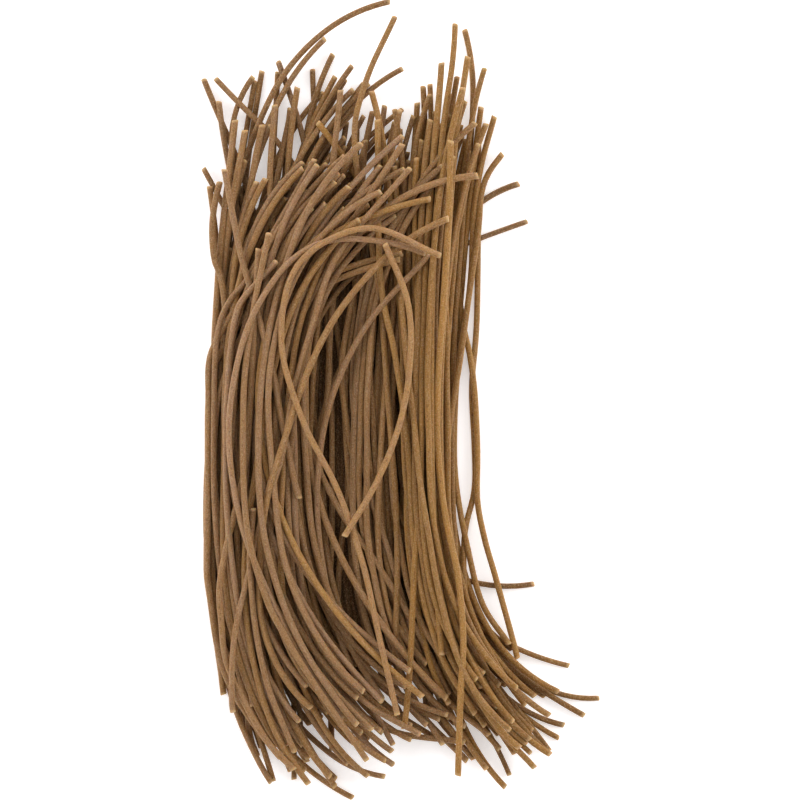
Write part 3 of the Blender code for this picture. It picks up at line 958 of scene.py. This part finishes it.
def ramp(tree, value, stops):
    """A colour ramp of (place, hex colour) stops."""
    ramped = add(tree, "ShaderNodeValToRGB", inputs={"Fac": value})["Color"]
    elements = ramped.node.color_ramp.elements
    while len(elements) < len(stops):
        elements.new(0.5)
    for element, (place, colour) in zip(elements, stops):
        element.position = place
        element.color = linear(colour)
    return ramped


def wholewheat_pasta():
    """Wholewheat durum pasta, extruded through bronze dies and air dried: a rough, dull skin with faint
    drawn streaks along the strand, bran specks, and pale broken flour at the cut ends."""
    material = new_material("extruded wholewheat pasta")
    tree = material.node_tree

    def fact(name):
        return add(tree, "ShaderNodeAttribute", {"attribute_name": name})

    def maths(operation, *values):
        return add(tree, "ShaderNodeMath", {"operation": operation}, dict(enumerate(values)))[0]

    def noise(vector, per_mm, detail, roughness=0.5):
        inputs = {"Vector": vector, "Scale": per_mm, "Detail": detail, "Roughness": roughness}
        return add(tree, "ShaderNodeTexNoise", inputs=inputs)["Fac"]

    def mix(factor, a, b, blend="MIX"):
        settings = {"data_type": "RGBA", "blend_type": blend}
        return add(tree, "ShaderNodeMix", settings, {0: factor, 6: a, 7: b})[2]

    def swung(pattern, share):
        return maths("MULTIPLY", maths("SUBTRACT", pattern, 0.5), share)

    def drawn(share):
        return add(tree, "ShaderNodeMapping", inputs={"Vector": lie, "Scale": (1.0, 1.0, share)})[0]

    lie = fact("lie")["Vector"]
    clouds = noise(lie, CLOUDS, 2.0)
    streaks = noise(drawn(STREAK_DRAW), STREAKS, 2.0)
    grain = noise(lie, GRAIN, 3.0, GRAIN_ROUGHNESS)
    tint = maths("ADD", fact("tint")["Fac"], swung(clouds, 0.5))
    # How light the skin is painted: the drawn streaks plus the strand's painted shade.
    light = maths("ADD", swung(streaks, 0.5), fact("shade")["Fac"])
    # Painted shade: strands painted darker are also painted browner, as if the light on them had come off
    # other strands.
    painted_browner_shade = {0: light, 1: maths("POWER", light, 1.2), 2: maths("POWER", light, 2.0)}
    shade = add(tree, "ShaderNodeCombineColor", inputs=painted_browner_shade)[0]
    colour = mix(1.0, ramp(tree, tint, TINT_STOPS), shade, "MULTIPLY")
    colour = mix(swung(grain, FLOUR_SHARE), colour, linear(FLOUR))
    colour = mix(maths("MULTIPLY", maths("SUBTRACT", 0.5, grain), HOLLOW_SHARE), colour, linear(BRAN))
    flecked = {"Vector": drawn(BRAN_DRAW), "Scale": BRAN_CELLS, "Randomness": 1.0}
    cells = add(tree, "ShaderNodeTexVoronoi", inputs=flecked)
    chance = add(tree, "ShaderNodeSeparateColor", inputs={0: cells["Color"]})[0]
    present = maths("GREATER_THAN", chance, BRAN_ABSENT)
    speck = maths("MULTIPLY", present, maths("LESS_THAN", cells["Distance"], BRAN_SIZE))
    colour = mix(maths("MULTIPLY", speck, BRAN_STRENGTH), colour, linear(BRAN))
    # The last millimetre is paler where the strand was cut and its flour broke out.
    fade = {0: fact("from_end")["Fac"], 1: CUT_PALE_REACH[0], 2: CUT_PALE_REACH[1], 3: CUT_PALE, 4: 0.0}
    end = add(tree, "ShaderNodeMapRange", {"interpolation_type": "SMOOTHSTEP"}, fade)[0]
    colour = mix(end, colour, linear(CUT_END))
    height = maths("ADD", maths("MULTIPLY", grain, 0.7), maths("MULTIPLY", streaks, 0.5))
    relief = {"Strength": BUMP_STRENGTH, "Distance": BUMP_HEIGHT, "Height": height}
    skin = {
        "Base Color": colour,
        "Normal": add(tree, "ShaderNodeBump", inputs=relief)[0],
        "Roughness": 0.62,
        "IOR": 1.5,
        "Specular IOR Level": 0.4,
        "Diffuse Roughness": 1.0,
        # Light goes about a millimetre into the dough, the red of it farthest.
        "Subsurface Weight": 0.5,
        "Subsurface Radius": (1.0, 0.45, 0.15),
        "Subsurface Scale": 0.0012,
        # The fine flour on the skin catches light at a grazing angle.
        "Sheen Weight": 0.32,
        "Sheen Roughness": 0.5,
        "Sheen Tint": (1.0, 0.68, 0.42, 1.0),
    }
    shader = add(tree, "ShaderNodeBsdfPrincipled", inputs=skin)[0]
    add(tree, "ShaderNodeOutputMaterial", inputs={"Surface": shader})
    return material


def matte_card():
    """A sheet of smooth white card: an even, dull white that keeps the shadow under the strands soft."""
    material = new_material("matte white card")
    tree = material.node_tree
    place = add(tree, "ShaderNodeTexCoord")["Object"]
    felt = {"Vector": place, "Scale": 400.0, "Detail": 2.0}  # clumps of fibres about 2.5 mm across
    fibres = add(tree, "ShaderNodeTexNoise", inputs=felt)["Fac"]
    relief = {"Strength": 0.02, "Distance": 0.0001, "Height": fibres}
    card = {
        "Base Color": linear("#F6F4F5"),
        "Roughness": 0.9,
        "Normal": add(tree, "ShaderNodeBump", inputs=relief)[0],
        "Emission Color": linear("#FFFFFF"),
        "Emission Strength": FLOOR_GLOW,
    }
    shader = add(tree, "ShaderNodeBsdfPrincipled", inputs=card)[0]
    add(tree, "ShaderNodeOutputMaterial", inputs={"Surface": shader})
    return material


# ---- The studio ----

def add_floor(material):
    """The floor, level with the bottom of the bundle."""
    mesh = bpy.data.meshes.new("studio_floor")
    corners = [(x * FLOOR_HALF, y * FLOOR_HALF, 0) for x, y in ((-1, -1), (1, -1), (1, 1), (-1, 1))]
    mesh.from_pydata(corners, [], [(0, 1, 2, 3)])
    mesh.materials.append(material)
    mesh.transform(Matrix.Translation((CENTRE_X * MM, CENTRE_Y * MM, TABLE_Z * MM)))
    floor = placed("studio_floor", mesh)


def add_light(name, place, size, watts):
    """A square soft light that faces the middle of the bundle."""
    lamp = bpy.data.lights.new(name, "AREA")
    lamp.size = size
    lamp.energy = watts
    light = placed(name, lamp)
    light.location = Vector(place)
    light.rotation_euler = (-Vector(place)).to_track_quat("-Z", "Y").to_euler()


def add_studio():
    """Plain soft light from above, a little from the head, and a camera that looks straight down."""
    scene = bpy.context.scene
    world = bpy.data.worlds.new("studio white")
    world.use_nodes = True
    background = world.node_tree.nodes["Background"]
    background.inputs["Color"].default_value = linear("#FFFFFF")
    background.inputs["Strength"].default_value = WORLD_STRENGTH
    scene.world = world
    for name, place, size, watts in SOFTBOXES:
        add_light(name, place, size, watts)
    lens = bpy.data.cameras.new("camera above")
    lens.sensor_width = SENSOR
    lens.lens = SENSOR * (CAMERA_HEIGHT - FOCUS_SHARE * BOX_HIGH.z) / FRAME_SIDE
    camera = placed("camera above", lens)
    camera.location = (CENTRE_X * MM, CENTRE_Y * MM, TABLE_Z * MM + CAMERA_HEIGHT)
    scene.camera = camera
    scene.view_settings.view_transform = "Standard"
    scene.view_settings.look = "Medium High Contrast"


# ---- Making the bundle ----

def finish_piece(piece, material):
    """Gives a piece its material and body."""
    piece.data.materials.clear()
    piece.data.materials.append(material)
    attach(piece, "root")


def main():
    """Builds the studio and the bundle."""
    rng = np.random.default_rng(SEED)
    add_studio()
    add_floor(matte_card())
    pasta = wholewheat_pasta()
    strands = drawn_strands(rng)
    rows = core_rows()
    places = settled(strands, ground_heights(rows))
    places[..., 2] += TABLE_Z
    pieces = [core_piece(rows)]
    tree = skin_tree()
    for name, skin in SKINS.items():
        chosen = np.nonzero(np.isin(strands["kinds"], skin["kinds"]))[0]
        lines = strand_lines(name, strands, places, chosen, skin["rings"])
        piece = skinned(lines, tree, {"Sides": skin["sides"], "Material": pasta})
        add_bake_map(piece, skin["rings"], skin["sides"])
        pieces.append(piece)
    for piece in pieces:
        finish_piece(piece, pasta)
    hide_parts("spaghetti_bundle")


main()
